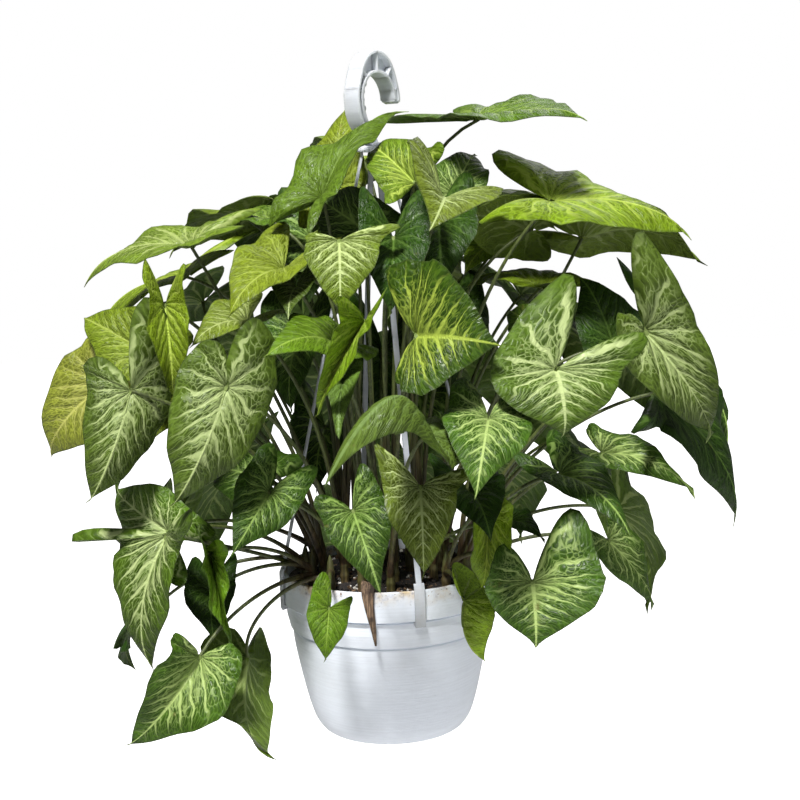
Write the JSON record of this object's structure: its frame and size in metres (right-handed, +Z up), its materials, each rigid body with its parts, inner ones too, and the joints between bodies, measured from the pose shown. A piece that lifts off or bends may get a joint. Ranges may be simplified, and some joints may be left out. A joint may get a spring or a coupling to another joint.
{
  "type": "hanging potted plant",
  "caption": "Arrowhead vine of veined, arrow-shaped leaves on arching stalks in a round white hanging pot with soil, rim clips, straps and an open hook.",
  "frame": {"origin": "lowest point of the hook's inner crown, where the hook bears on the rail or ceiling hook that carries the plant, on the pot's axis", "axes": "+Z up, out of the pot; -Y towards the front of the plant, where the withered leaf hangs over the rim; +X to the plant's right-hand side seen from the front"},
  "size_m": [0.6456, 0.6069, 0.63],
  "materials": {
    "pot_plastic": "satin white, ribbed, with a soiled rim",
    "hanger_plastic": "satin white moulding",
    "soil": "damp dark potting mix",
    "leaf_deep": "waxy deep green with pale veins",
    "leaf_mid": "waxy mid green with cream veins",
    "leaf_lime": "waxy lime green with cream veins",
    "dry_leaf": "withered brown, dull"
  },
  "bodies": {
    "root": {"pot": "pot_plastic", "soil": "soil", "hanger_hook": "hanger_plastic", "strap_front": "hanger_plastic", "strap_right": "hanger_plastic", "strap_back": "hanger_plastic", "strap_left": "hanger_plastic", "shoot_left_far": "leaf_lime", "shoot_left_front": "leaf_mid", "shoot_top_left": "leaf_mid", "shoot_left_centre": "leaf_mid", "shoot_trailing": "leaf_mid", "shoot_trailing_low": "leaf_mid", "shoot_rim_left": "leaf_deep", "shoot_hook": "leaf_mid", "shoot_cream_small": "leaf_lime", "shoot_centre_left": "leaf_lime", "shoot_top_striped": "leaf_mid", "shoot_top_cream": "leaf_lime", "shoot_top": "leaf_deep", "shoot_right_lime": "leaf_lime", "shoot_right_top": "leaf_mid", "shoot_right_big": "leaf_mid", "shoot_right_back": "leaf_deep", "shoot_right_low": "leaf_deep", "shoot_hero_right": "leaf_mid", "shoot_hero_centre": "leaf_deep", "shoot_hero_lower": "leaf_mid", "shoot_front": "leaf_deep", "shoot_front_left": "leaf_deep", "shoot_rim_right": "leaf_mid", "shoot_rear_right_low": "leaf_mid", "shoot_rear_right": "leaf_deep", "shoot_rear_right_top": "leaf_lime", "shoot_rear_mid": "leaf_mid", "shoot_rear_top": "leaf_lime", "shoot_rear_left_mid": "leaf_deep", "shoot_rear_left": "leaf_mid", "shoot_rear_left_low": "leaf_mid", "shoot_side_left": "leaf_lime", "dry_leaf": "dry_leaf"}
  },
  "joints": []
}
